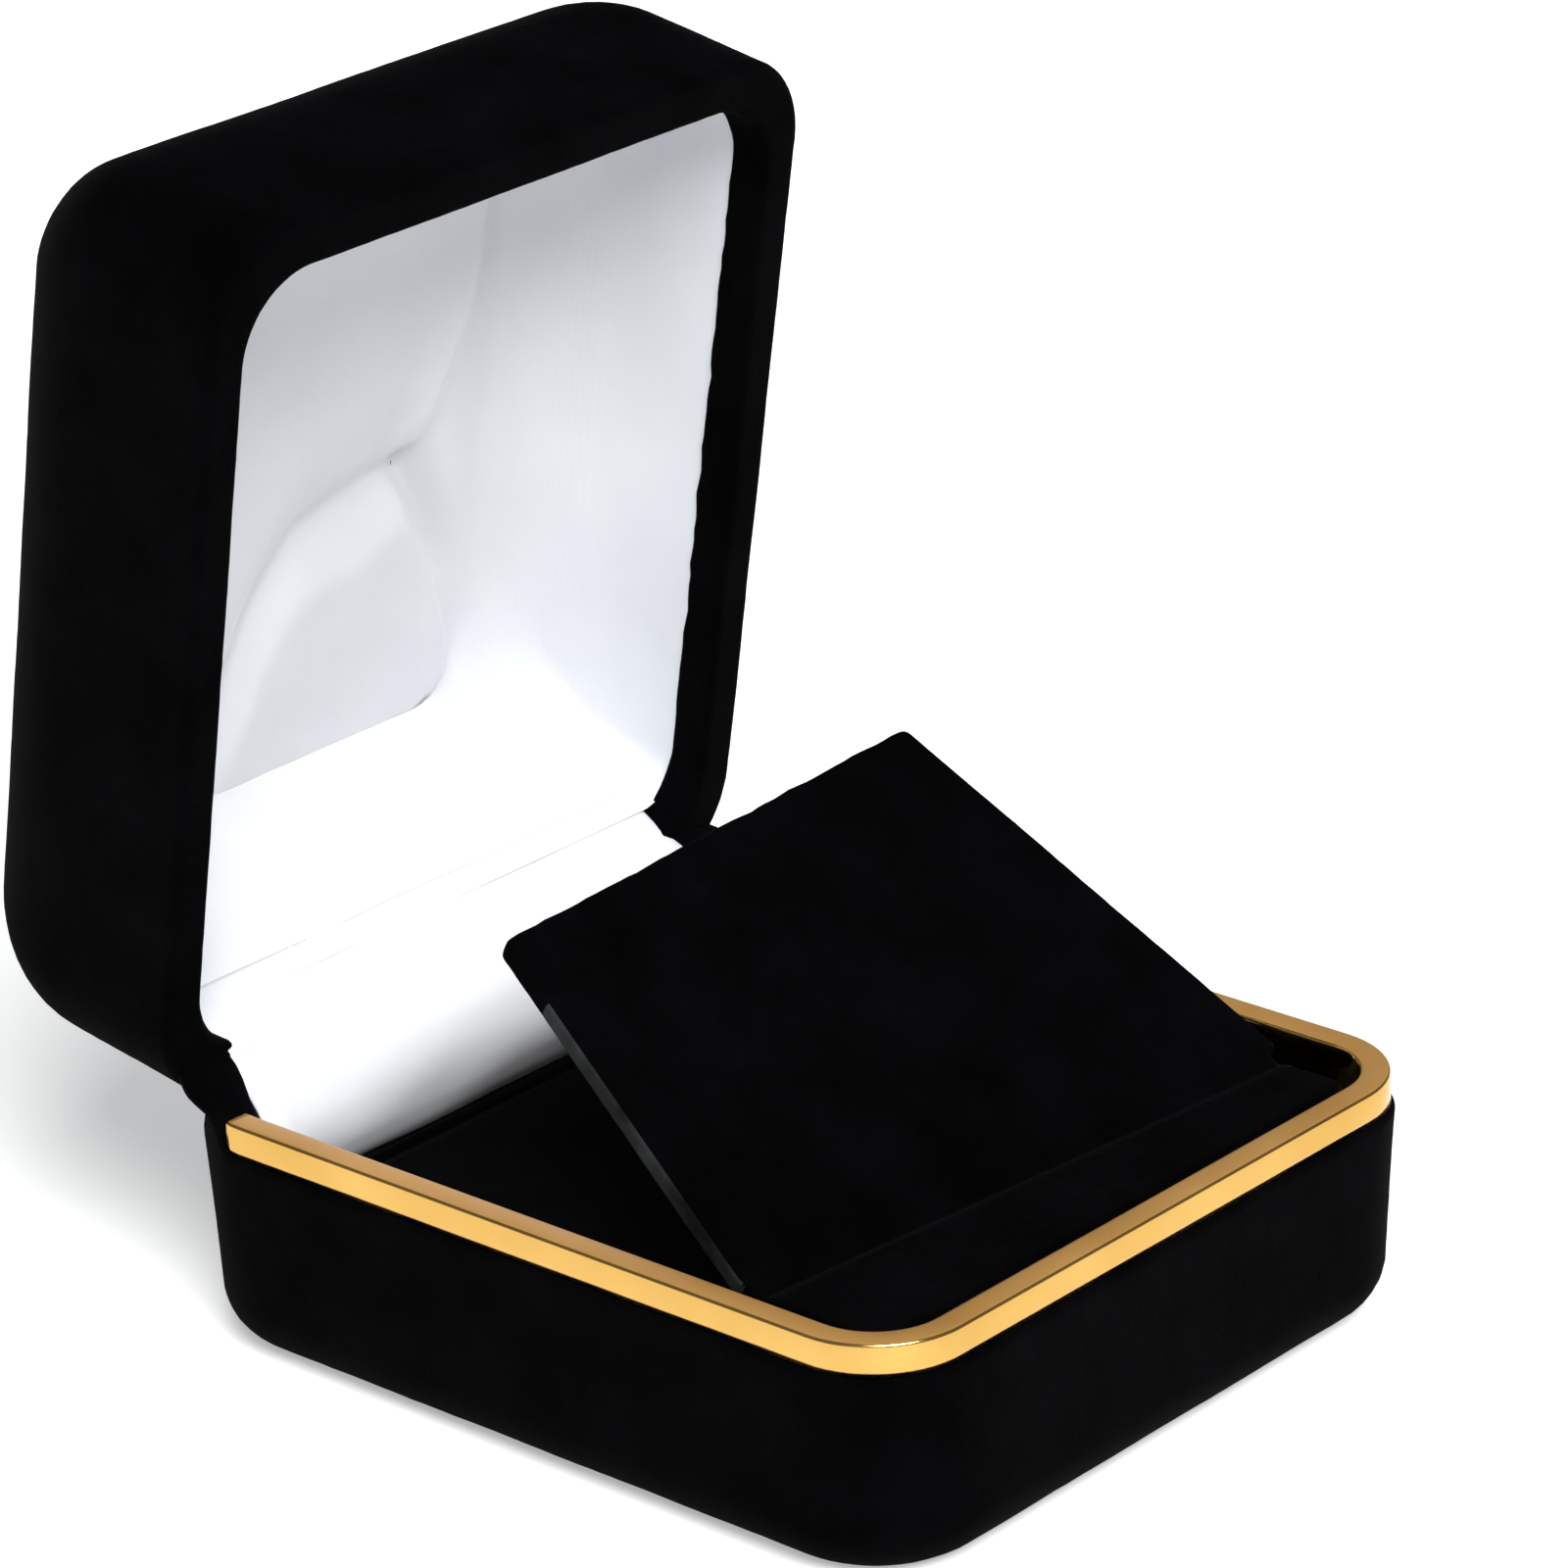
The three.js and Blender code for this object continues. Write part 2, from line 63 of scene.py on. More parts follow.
base_low, base_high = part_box("base_velvet")
gold_low, gold_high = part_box("gold_trim")
HALF_W = base_high.x
HALF_D = base_high.y
RIM_Z = gold_high.z
GOLD_INSET = HALF_W - gold_high.x
GOLD_END_Y = gold_high.y
HINGE = Vector(joints["lid_hinge"]["pos_m"])
LID_OPEN = math.radians(-joints["lid_hinge"]["range_deg"][0])
FOLD = Vector(joints["flap_hinge"]["pos_m"])
FOLD_AXIS = Vector(joints["flap_hinge"]["axis"])

# Sizes that the frame's boxes don't give, in millimetres.
SHOULDER_Z = 15.05
GOLD_WIDTH = 2.1
GOLD_FOOT = 15.12
GOLD_WALL = 0.5
GOLD_LIP_Z = 14.6
BASE_CORNER_R = 7.3
FOOT_CORNER_R = 8.9
BASE_EDGE_R = 4.1
LID_RIM_Z = 17.7
LID_TOP_Z = 40.7
LID_CORNER_R = 7.2
LID_EDGE_R = 12.0
RIM_WIDTH = 3.35
TURN_IN = 3.0
FLAP_UP = math.radians(31.1)

lid_to_rest = (
    Matrix.Translation(HINGE) @ Matrix.Rotation(-LID_OPEN, 4, "X") @ Matrix.Translation(-HINGE)
)
flap_to_rest = (
    Matrix.Translation(FOLD) @ Matrix.Rotation(FLAP_UP, 4, FOLD_AXIS) @ Matrix.Translation(-FOLD)
)


# ---- node material helpers ----

def new_material(name):
    material = bpy.data.materials.new(name)
    material.use_nodes = True
    tree = material.node_tree
    return material, tree, tree.nodes["Principled BSDF"]


def add_node(tree, kind, inputs=None, **settings):
    node = tree.nodes.new(kind)
    for key, value in settings.items():
        setattr(node, key, value)
    for key, value in (inputs or {}).items():
        if isinstance(value, bpy.types.NodeSocket):
            tree.links.new(value, node.inputs[key])
        else:
            node.inputs[key].default_value = value
    return node


def noise_value(tree, scale, detail=3.0, roughness=0.55, vector=None):
    where = vector or add_node(tree, "ShaderNodeTexCoord").outputs["Object"]
    node = add_node(
        tree,
        "ShaderNodeTexNoise",
        {"Vector": where, "Scale": scale, "Detail": detail, "Roughness": roughness},
    )
    return node.outputs["Fac"]


def colour_ramp(tree, value, stops):
    ramp = add_node(tree, "ShaderNodeValToRGB", {"Fac": value})
    elements = ramp.color_ramp.elements
    while len(elements) < len(stops):
        elements.new(0.5)
    for element, (place, colour) in zip(elements, stops):
        element.position = place
        element.color = (*colour, 1.0)
    return ramp.outputs["Color"]


def value_range(tree, value, low, high, from_low=0.0, from_high=1.0):
    node = add_node(
        tree,
        "ShaderNodeMapRange",
        {"Value": value, "From Min": from_low, "From Max": from_high, "To Min": low, "To Max": high},
    )
    return node.outputs["Result"]


def add_bump(tree, shader, height, distance, strength=1.0, normal=None):
    inputs = {"Height": height, "Distance": distance, "Strength": strength}
    if normal is not None:
        inputs["Normal"] = normal
    bump = add_node(tree, "ShaderNodeBump", inputs)
    tree.links.new(bump.outputs["Normal"], shader.inputs["Normal"])
    return bump.outputs["Normal"]


# ---- materials ----

def velvet_material(name, dark=(0.0004, 0.0004, 0.0006), light=(0.0014, 0.0014, 0.0018), sheen=0.016):
    """Flocked pile: nearly black, lit by its fibres at grazing angles, mottled where the nap turns."""
    material, tree, shader = new_material(name)
    nap = noise_value(tree, 140.0, 4.0, 0.6)
    flock = noise_value(tree, 5200.0, 2.0, 0.7)
    colour = colour_ramp(tree, nap, [(0.35, dark), (0.7, light)])
    tree.links.new(colour, shader.inputs["Base Color"])
    shader.inputs["Roughness"].default_value = 0.95
    shader.inputs["Specular IOR Level"].default_value = 0.015
    shader.inputs["Sheen Weight"].default_value = sheen
    shader.inputs["Sheen Roughness"].default_value = 0.35
    shader.inputs["Sheen Tint"].default_value = (0.42, 0.43, 0.47, 1.0)
    soft = add_bump(tree, shader, nap, 0.0003, 0.5)
    add_bump(tree, shader, flock, 0.00012, 0.9, soft)
    return material


def gilt_material(name, dark, light, smooth, dull, metal):
    """Gilding with small pits and slightly uneven polish."""
    material, tree, shader = new_material(name)
    patch = noise_value(tree, 90.0, 3.0, 0.5)
    pit = noise_value(tree, 1800.0, 2.0, 0.6)
    colour = colour_ramp(tree, patch, [(0.3, dark), (0.7, light)])
    tree.links.new(colour, shader.inputs["Base Color"])
    shader.inputs["Metallic"].default_value = metal
    tree.links.new(value_range(tree, patch, smooth, dull, 0.3, 0.7), shader.inputs["Roughness"])
    soft = add_bump(tree, shader, patch, 0.0004, 0.25)
    add_bump(tree, shader, pit, 0.00002, 0.35, soft)
    return material


def satin_material():
    """White satin: a fine rib along X, a soft lustre, and faint unevenness in the weave."""
    material, tree, shader = new_material("white_satin")
    where = add_node(tree, "ShaderNodeTexCoord").outputs["Object"]
    rib = add_node(
        tree,
        "ShaderNodeTexWave",
        {"Vector": where, "Scale": 1500.0, "Distortion": 1.2, "Detail": 2.0, "Detail Scale": 3.0},
        wave_type="BANDS",
        bands_direction="X",
    ).outputs["Fac"]
    cloud = noise_value(tree, 60.0, 3.0, 0.5, where)
    colour = colour_ramp(tree, cloud, [(0.3, (0.63, 0.645, 0.675)), (0.7, (0.70, 0.71, 0.735))])
    tree.links.new(colour, shader.inputs["Base Color"])
    tree.links.new(value_range(tree, cloud, 0.38, 0.52), shader.inputs["Roughness"])
    shader.inputs["Specular IOR Level"].default_value = 0.5
    shader.inputs["Sheen Weight"].default_value = 0.25
    shader.inputs["Sheen Roughness"].default_value = 0.4
    shader.inputs["Subsurface Weight"].default_value = 0.15
    shader.inputs["Subsurface Radius"].default_value = (0.0012, 0.0012, 0.0013)
    shader.inputs["Subsurface Scale"].default_value = 0.6
    soft = add_bump(tree, shader, cloud, 0.0003, 0.2)
    add_bump(tree, shader, rib, 0.00002, 0.25, soft)
    return material


def card_material():
    """Uncoated greyboard with pulp flecks."""
    material, tree, shader = new_material("grey_card")
    fleck = noise_value(tree, 2600.0, 4.0, 0.7)
    colour = colour_ramp(tree, fleck, [(0.3, (0.16, 0.15, 0.14)), (0.75, (0.34, 0.32, 0.30))])
    tree.links.new(colour, shader.inputs["Base Color"])
    shader.inputs["Roughness"].default_value = 0.92
    add_bump(tree, shader, fleck, 0.00008, 0.6)
    return material


def foam_material():
    """Open-cell foam."""
    material, tree, shader = new_material("foam")
    where = add_node(tree, "ShaderNodeTexCoord").outputs["Object"]
    cells = add_node(tree, "ShaderNodeTexVoronoi", {"Vector": where, "Scale": 1600.0}).outputs["Distance"]
    colour = colour_ramp(tree, cells, [(0.1, (0.02, 0.02, 0.021)), (0.6, (0.09, 0.09, 0.095))])
    tree.links.new(colour, shader.inputs["Base Color"])
    shader.inputs["Roughness"].default_value = 1.0
    add_bump(tree, shader, cells, 0.0003, 0.8)
    return material


def steel_material():
    """Plain pressed sheet, with rolling marks and a little staining."""
    material, tree, shader = new_material("steel")
    where = add_node(tree, "ShaderNodeTexCoord").outputs["Object"]
    stretched = add_node(tree, "ShaderNodeMapping", {"Vector": where, "Scale": (40.0, 900.0, 900.0)})
    lines = noise_value(tree, 1.0, 3.0, 0.6, stretched.outputs["Vector"])
    stain = noise_value(tree, 220.0, 3.0, 0.6, where)
    colour = colour_ramp(tree, stain, [(0.3, (0.36, 0.36, 0.37)), (0.7, (0.55, 0.55, 0.57))])
    tree.links.new(colour, shader.inputs["Base Color"])
    shader.inputs["Metallic"].default_value = 1.0
    tree.links.new(value_range(tree, lines, 0.28, 0.5), shader.inputs["Roughness"])
    add_bump(tree, shader, lines, 0.00003, 0.4)
    return material


MATERIALS = {
    "black_velvet": velvet_material("black_velvet"),
    # A lighter copy of the velvet, with more sheen, for the flap's side faces: a painted highlight where the edges
    # catch the light.
    "painted_highlight_velvet": velvet_material("painted_highlight_velvet", (0.004, 0.004, 0.004), (0.03, 0.032, 0.033), 0.10),
    "gold": gilt_material("gilt", (0.60, 0.35, 0.085), (0.70, 0.43, 0.125), 0.10, 0.22, 1.0),
    # A darker, less metallic copy of the gilt for the band's flat faces: painted shade on its top.
    "painted_shade_gold": gilt_material("painted_shade_gilt", (0.48, 0.24, 0.055), (0.57, 0.31, 0.09), 0.34, 0.46, 0.45),
    "white_satin": satin_material(),
    "grey_card": card_material(),
    "foam": foam_material(),
    "steel": steel_material(),
}


# ---- mesh helpers ----

def mesh_object(name, points, faces, slot):
    mesh = bpy.data.meshes.new(name)
    mesh.from_pydata([tuple(p) for p in points], [], faces)
    mesh.validate()
    mesh.shade_smooth()
    mesh.materials.append(MATERIALS[slot])
    piece = bpy.data.objects.new(name, mesh)
    bpy.context.scene.collection.objects.link(piece)
    return piece


def rounded_ring(half_w, half_d, radius, z, y=0.0, corner_steps=14, side_steps=(44, 50)):
    """A rounded rectangle of points at one height, in millimetres, anticlockwise from the right front."""
    radius = max(radius, 0.05)
    ring = []
    corners = [(1, -1, -0.5), (1, 1, 0.0), (-1, 1, 0.5), (-1, -1, 1.0)]
    ends = []
    for sx, sy, turn in corners:
        cx = sx * (half_w - radius)
        cy = y + sy * (half_d - radius)
        arc = []
        for i in range(corner_steps + 1):
            angle = math.pi * (turn + 0.5 * i / corner_steps)
            arc.append(Vector((cx + radius * math.cos(angle), cy + radius * math.sin(angle), z)))
        ends.append(arc)
    for index, arc in enumerate(ends):
        ring += arc
        following = ends[(index + 1) % 4][0]
        count = side_steps[1] if index % 2 == 0 else side_steps[0]
        ring += [arc[-1].lerp(following, k / count) for k in range(1, count)]
    return ring


def ring_faces(rows, count):
    """Quads between closed rings of count points each."""
    faces = []
    for r in range(rows - 1):
        for i in range(count):
            a, b = r * count + i, r * count + (i + 1) % count
            faces.append((a, b, b + count, a + count))
    return faces


def grid_faces(rows, count):
    """Quads between open rows of count points each."""
    return [
        (r * count + j, r * count + j + 1, (r + 1) * count + j + 1, (r + 1) * count + j)
        for r in range(rows - 1)
        for j in range(count - 1)
    ]


def thicken(piece, thickness):
    """Gives a sheet its thickness, in metres, behind its face."""
    solidify = piece.modifiers.new("thickness", "SOLIDIFY")
    solidify.thickness = thickness
    solidify.offset = -1.0
    depsgraph = bpy.context.evaluated_depsgraph_get()
    mesh = bpy.data.meshes.new_from_object(piece.evaluated_get(depsgraph))
    piece.modifiers.clear()
    piece.data = mesh


def ring_piece(name, rows, slot, inwards=False):
    """A closed skin through rings of equal length, in millimetres, with a cap at each end."""
    count = len(rows[0])
    points = [p * MM for row in rows for p in row]
    faces = ring_faces(len(rows), count)
    faces.append(tuple(reversed(range(count))))
    faces.append(tuple(range((len(rows) - 1) * count, len(rows) * count)))
    if inwards:
        faces = [tuple(reversed(face)) for face in faces]
    return mesh_object(name, points, faces, slot)


def move_points(piece, mover):
    """Moves each point of a mesh by what mover(point, normal) returns, in metres."""
    mesh = piece.data
    normals = [Vector(n.vector) for n in mesh.vertex_normals]
    for vertex, normal in zip(mesh.vertices, normals):
        vertex.co += mover(vertex.co.copy(), normal)
    mesh.update()


def roughen(piece, fine=0.03, broad=0.08, seed=0.0):
    """Small unevenness of the pile, and a slow unevenness of the cloth under it, in millimetres."""
    shift = Vector((seed, 1.7 * seed, -0.6 * seed))

    def mover(point, normal):
        small = noise.noise(point * 1900.0 + shift)
        slow = noise.noise(point * 110.0 + shift)
        return normal * ((fine * small + broad * slow) * MM)

    move_points(piece, mover)


def transform_piece(piece, matrix):
    piece.data.transform(matrix)
    piece.data.update()
    return piece


def quarter(steps):
    return [math.pi / 2 * i / steps for i in range(steps + 1)]


def smoothstep(low, high, value):
    t = min(max((value - low) / (high - low), 0.0), 1.0)
    return t * t * (3.0 - 2.0 * t)


def lerp(a, b, t):
    return a + (b - a) * t


W_MM, D_MM = HALF_W / MM, HALF_D / MM


# ---- base ----

def base_ring(inset, z, height=None):
    """A ring inside the base's outside. height(point) may lift each point to its own level."""
    rise = min(max((z - BASE_EDGE_R) / (SHOULDER_Z - BASE_EDGE_R), 0.0), 1.0)
    outer = lerp(FOOT_CORNER_R, BASE_CORNER_R, rise)
    ring = rounded_ring(W_MM - inset, D_MM - inset, max(outer - inset, 1.0), z)
    if height is not None:
        for point in ring:
            point.z = height(point)
    return ring


def velvet_top(point):
    """The top of the base's velvet: low beside the trim and at the hinge, full height at the rear posts."""
    post = smoothstep(GOLD_END_Y / MM + 0.25, GOLD_END_Y / MM + 0.9, point.y)
    hinge = smoothstep(D_MM - 3.3, D_MM - 2.2, point.y)
    return lerp(lerp(SHOULDER_Z, 17.3, post), SHOULDER_Z, hinge)


def base_cover():
    thick = 0.9
    rows = [base_ring(BASE_EDGE_R + 21.0 * (1 - k / 30), 0.0) for k in range(30)]
    rows += [
        base_ring(BASE_EDGE_R * (1 - math.sin(a)), BASE_EDGE_R * (1 - math.cos(a))) for a in quarter(12)
    ]
    levels = 18
    for k in range(1, levels + 1):
        share = k / levels
        z = lerp(BASE_EDGE_R, SHOULDER_Z - 0.6, share)
        rows.append(base_ring(0.0, z, lambda p, s=share: lerp(BASE_EDGE_R, velvet_top(p) - 0.6, s)))
    for a in quarter(6)[1:]:
        drop = 0.6 * (1 - math.sin(a))
        rows.append(base_ring(0.6 * (1 - math.cos(a)), SHOULDER_Z, lambda p, d=drop: velvet_top(p) - d))
    rows.append(base_ring(thick, SHOULDER_Z, lambda p: velvet_top(p) - 0.05))
    inner = BASE_EDGE_R - thick
    rows += [base_ring(thick, z) for z in (14.0, 10.0, BASE_EDGE_R)]
    rows += [
        base_ring(thick + inner * (1 - math.sin(a)), thick + inner * (1 - math.cos(a)))
        for a in reversed(quarter(4)[:-1])
    ]
    piece = ring_piece("base_cover", rows, "black_velvet", inwards=True)
    roughen(piece, 0.025, 0.06, 3.0)
    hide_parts("base_velvet")
    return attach(piece, "base")


def gold_band():
    """The gilded channel, open at the back: a flat outer face, a crisp bevel and a crowned top. Faces pointing
    straight up or down take a darker, less metallic copy of the gilt: painted shade on the top.
    """
    outer = GOLD_INSET / MM
    inner = outer + GOLD_WIDTH
    top = RIM_Z / MM
    section = [
        (outer, GOLD_FOOT), (outer, 15.6), (outer, top - 0.22), (outer + 0.05, top - 0.10),
        (outer + 0.14, top - 0.03),
        (outer + 0.28, top), (lerp(outer, inner, 0.5), top), (inner - 0.35, top - 0.02),
        (inner - 0.16, top - 0.07), (inner - 0.05, top - 0.18), (inner, top - 0.34), (inner, GOLD_LIP_Z),
        (inner - GOLD_WALL, GOLD_LIP_Z), (inner - GOLD_WALL, top - GOLD_WALL),
        (outer + GOLD_WALL, top - GOLD_WALL), (outer + GOLD_WALL, GOLD_FOOT),
    ]
    end = GOLD_END_Y / MM
    rows = []
    for inset, z in section:
        ring = base_ring(inset, z)
        third = len(ring) // 3
        start = next(i for i, p in enumerate(ring) if i > third and p.x < 0 and 0 < p.y < end)
        ordered = ring[start:] + ring[:start]
        kept = [p for p in ordered if p.y < end]
        rows.append([Vector((kept[0].x, end, z))] + kept + [Vector((kept[-1].x, end, z))])
    count = min(len(row) for row in rows)
    rows = [row[:count] for row in rows]
    points = [p * MM for row in rows for p in row]
    faces = []
    size = len(rows)
    for r in range(size):
        s = (r + 1) % size
        for i in range(count - 1):
            faces.append((r * count + i, r * count + i + 1, s * count + i + 1, s * count + i))
    faces.append(tuple(r * count for r in range(size)))
    faces.append(tuple(r * count + count - 1 for r in reversed(range(size))))
    piece = mesh_object("gold_band", points, faces, "gold")
    # Faces that point up or down take the darker gilt: painted shade on the band's top.
    piece.data.materials.append(MATERIALS["painted_shade_gold"])
    for polygon in piece.data.polygons:
        polygon.material_index = 1 if abs(polygon.normal.z) > 0.8 else 0
    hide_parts("gold_trim")
    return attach(piece, "base")


# ---- lid, drawn shut and then turned to rest ----

def lid_ring(inset, z, wobble=None):
    ring = rounded_ring(W_MM - inset, D_MM - inset, max(LID_CORNER_R - 0.45 * inset, 1.8), z)
    if wobble is not None:
        for point in ring:
            point.z += wobble(point)
    return ring


def lid_cover():
    thick = 0.9
    rows = [lid_ring(LID_EDGE_R + 13.0 * (1 - k / 22), LID_TOP_Z) for k in range(22)]
    rows += [
        lid_ring(LID_EDGE_R * (1 - math.sin(a)), LID_TOP_Z - LID_EDGE_R * (1 - math.cos(a)))
        for a in quarter(18)
    ]
    wall_top = LID_TOP_Z - LID_EDGE_R
    rows += [lid_ring(0.0, lerp(wall_top, LID_RIM_Z + 0.7, k / 14)) for k in range(1, 15)]
    rows += [
        lid_ring(0.7 * (1 - math.cos(a)), LID_RIM_Z + 0.7 * (1 - math.sin(a))) for a in quarter(6)[1:]
    ]
    rows += [lid_ring(lerp(0.7, RIM_WIDTH - 0.6, k / 4), LID_RIM_Z) for k in range(1, 5)]
    rows += [
        lid_ring(RIM_WIDTH - 0.6 * (1 - math.sin(a)), LID_RIM_Z + 0.6 * (1 - math.cos(a)))
        for a in quarter(5)[1:]
    ]

    def ragged(share):
        return lambda p: share * 0.22 * noise.noise(Vector((p.x * 0.55, p.y * 0.55, 4.0)))

    rows += [
        lid_ring(RIM_WIDTH, lerp(LID_RIM_Z + 0.6, LID_RIM_Z + TURN_IN, k / 5), ragged(k / 5))
        for k in range(1, 6)
    ]
    rows += [lid_ring(RIM_WIDTH - 0.35, LID_RIM_Z + TURN_IN + 0.15, ragged(1.0))]
    rows += [lid_ring(RIM_WIDTH - 0.8, z) for z in (LID_RIM_Z + TURN_IN - 0.1, LID_RIM_Z + 0.9)]
    rows += [lid_ring(thick, z) for z in (LID_RIM_Z + 0.9, wall_top)]
    inner = LID_EDGE_R - thick
    rows += [
        lid_ring(thick + inner * (1 - math.sin(a)), LID_TOP_Z - thick - inner * (1 - math.cos(a)))
        for a in reversed(quarter(6)[:-1])
    ]
    piece = ring_piece("lid_cover", rows, "black_velvet")
    roughen(piece, 0.025, 0.07, 8.0)
    transform_piece(piece, lid_to_rest)
    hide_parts("lid_velvet")
    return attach(piece, "lid")


# ---- the lid's lining, drawn shut ----

HINGE_MM = HINGE / MM
LINING_TOP = 18.95  # height of its ceiling above the hinge, in the lid's own frame
LINING_FOOT = 3.7  # height of its edge behind the turned-in velvet
LINING_RIGHT_R = 9.0  # its rounding at the right rear, where it is drawn smooth
LINING_SIDE = 9.6  # how far each side draws in towards the ceiling
LINING_SHIFT = 1.9  # how much less of that the right side has, and the left side more
RIDGE = [(17.5, -60.0), (16.1, -47.5), (15.2, -42.7), (13.1, -38.0), (11.4, -33.4), (9.8, -29.6)]
LEFT_FOLD = [(9.4, -29.0), (4.2, -27.9), (0.2, -26.6), (-3.2, -22.5), (-6.0, -16.5), (-10.0, -9.5)]
RIGHT_FOLD = [(10.6, -29.2), (13.0, -24.8), (15.1, -19.8), (18.2, -11.4), (19.6, -7.5)]
TENT_EDGE = [(-24.0, -2.0), (-10.0, -9.5), (-6.0, -16.5), (-3.2, -22.5), (0.2, -26.6), (5.0, -27.6)]
TENT_EDGE += [(10.0, -29.4), (13.0, -24.8), (15.1, -19.8), (18.2, -11.4), (20.0, -6.0), (26.0, 0.0)]


def near_line(line, x, y):
    """(distance to a polyline, share of its length at the nearest point)."""
    best = (1e9, 0.0)
    spans = len(line) - 1
    for i in range(spans):
        (ax, ay), (bx, by) = line[i], line[i + 1]
        dx, dy = bx - ax, by - ay
        t = min(max(((x - ax) * dx + (y - ay) * dy) / (dx * dx + dy * dy), 0.0), 1.0)
        gap = math.hypot(x - ax - t * dx, y - ay - t * dy)
        if gap < best[0]:
            best = (gap, (i + t) / spans)
    return best


def lining_relief(x, y):
    """How far the satin stands in from its stretched shape, at a place on the ceiling, in millimetres."""
    ridge, along_ridge = near_line(RIDGE, x, y)
    left, along_left = near_line(LEFT_FOLD, x, y)
    right, along_right = near_line(RIGHT_FOLD, x, y)
    edge = float(np.interp(x, [p[0] for p in TENT_EDGE], [p[1] for p in TENT_EDGE]))
    relief = 0.3 + 1.2 * math.exp(-((ridge / 1.3) ** 2)) * (1.0 - 0.3 * along_ridge)
    relief += 0.55 * smoothstep(1.0, 7.0, edge - y)
    relief -= 1.1 * math.exp(-((left / 1.7) ** 2)) * (1.0 - 0.4 * along_left)
    relief -= 1.15 * math.exp(-((right / 1.3) ** 2)) * (1.0 - 0.6 * along_right)
    relief += 1.15 * smoothstep(0.0, 5.0, y - edge)
    relief += 0.35 * noise.noise(Vector((x * 0.11, y * 0.09, 7.0)))
    return relief * (1.0 - smoothstep(14.0, 19.5, x))


def lining_ring(share, flat=0.0):
    """One ring of the lining: share 0 at its edge to 1 at the ceiling; flat 0 to 1 across the ceiling."""
    angle = share * math.pi / 2
    z = lerp(LINING_FOOT, LINING_TOP, math.sin(angle))
    z_full = lerp(LINING_FOOT, LINING_TOP, math.sin(angle) ** 0.7)
    pull = 1.0 - math.cos(angle)
    half_w = W_MM - RIM_WIDTH + 0.15 - LINING_SIDE * pull
    front = -D_MM + RIM_WIDTH - 0.15 + 9.5 * pull
    rear = HINGE_MM.y + lerp(-3.45, -8.4, math.sin(angle) ** 1.1)
    centre = (front + rear) / 2
    half_d = (rear - front) / 2
    scale = 1.0 - flat
    front_r = lerp(6.0, 4.0, share)
    rear_r = lerp(3.0, 1.2, share)
    ring, squarer, rounder = (
        rounded_ring(half_w * scale, half_d * scale, radius * scale, 0.0, centre, 10, (46, 50))
        for radius in (front_r, rear_r, LINING_RIGHT_R)
    )
    points = []
    for soft, sharp, broad in zip(ring, squarer, rounder):
        rear = sharp.lerp(broad, smoothstep(0.0, 8.0, soft.x) * smoothstep(0.2, 0.8, share))
        point = soft.lerp(rear, smoothstep(-0.2, 0.4, (soft.y - centre) / max(half_d * scale, 0.01)))
        fuller = (z_full - z) * smoothstep(2.0, 18.0, point.x)
        points.append(Vector((point.x + LINING_SHIFT * pull * scale, point.y, HINGE_MM.z + z + fuller)))
    return points


def lid_lining():
    """Satin over a padded card: creased where it meets the back, ridged and forked where it is tight."""
    rows = [lining_ring(k / 30) for k in range(31)]
    rows += [lining_ring(1.0, k / 44) for k in range(1, 44)]
    count = len(rows[0])
    points = [p * MM for row in rows for p in row]
    faces = ring_faces(len(rows), count)
    centre = sum(rows[-1], Vector()) / count
    points.append(centre * MM)
    last = (len(rows) - 1) * count
    faces += [(last + i, last + (i + 1) % count, len(points) - 1) for i in range(count)]
    piece = mesh_object("lid_lining", points, [tuple(reversed(face)) for face in faces], "white_satin")

    def mover(point, normal):
        z = point.z / MM - HINGE_MM.z
        y = point.y / MM - HINGE_MM.y
        depth = smoothstep(LINING_FOOT + 2.0, LINING_TOP - 2.0, z)
        small = 0.05 * noise.noise(Vector((point.x * 500, point.y * 260, point.z * 500)))
        wave = 0.16 * noise.noise(Vector((point.x * 120, point.y * 70, point.z * 90 + 3)))
        push = depth * lining_relief(point.x / MM, y) + small + wave * smoothstep(LINING_FOOT, 8.0, z)
        return normal * (push * MM)

    move_points(piece, mover)
    transform_piece(piece, lid_to_rest)
    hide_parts("lid_satin")
    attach(piece, "lid")
    return piece


# ---- the strip of satin over the hinge ----

APRON_PROFILE = [
    (27.3, 9.3), (26.6, 10.1), (26.05, 11.1), (25.65, 12.2), (25.5, 13.4), (25.65, 14.6), (26.05, 15.7),
    (26.7, 16.7), (27.6, 17.55), (28.7, 18.2), (30.0, 18.82), (31.4, 19.5), (32.9, 20.28), (34.4, 21.05),
    (35.9, 21.8),
]


def apron_place(share):
    """(y, z, direction along the profile) at a share 0 to 1 of the profile, smoothly through its points."""
    spans = len(APRON_PROFILE) - 1
    place = share * spans
    i = min(int(place), spans - 1)
    t = place - i
    a, b, c, d = (Vector(APRON_PROFILE[min(max(i + k, 0), spans)]) for k in (-1, 0, 1, 2))
    if i == 0:
        a = 2 * b - c
    if i == spans - 1:
        d = 2 * c - b
    square, cube = 2 * a - 5 * b + 4 * c - d, 3 * b - a - 3 * c + d
    point = 0.5 * (2 * b + (c - a) * t + square * t**2 + cube * t**3)
    slope = (c - a) + 2 * square * t + 3 * cube * t**2
    return point.x, point.y, slope.normalized()


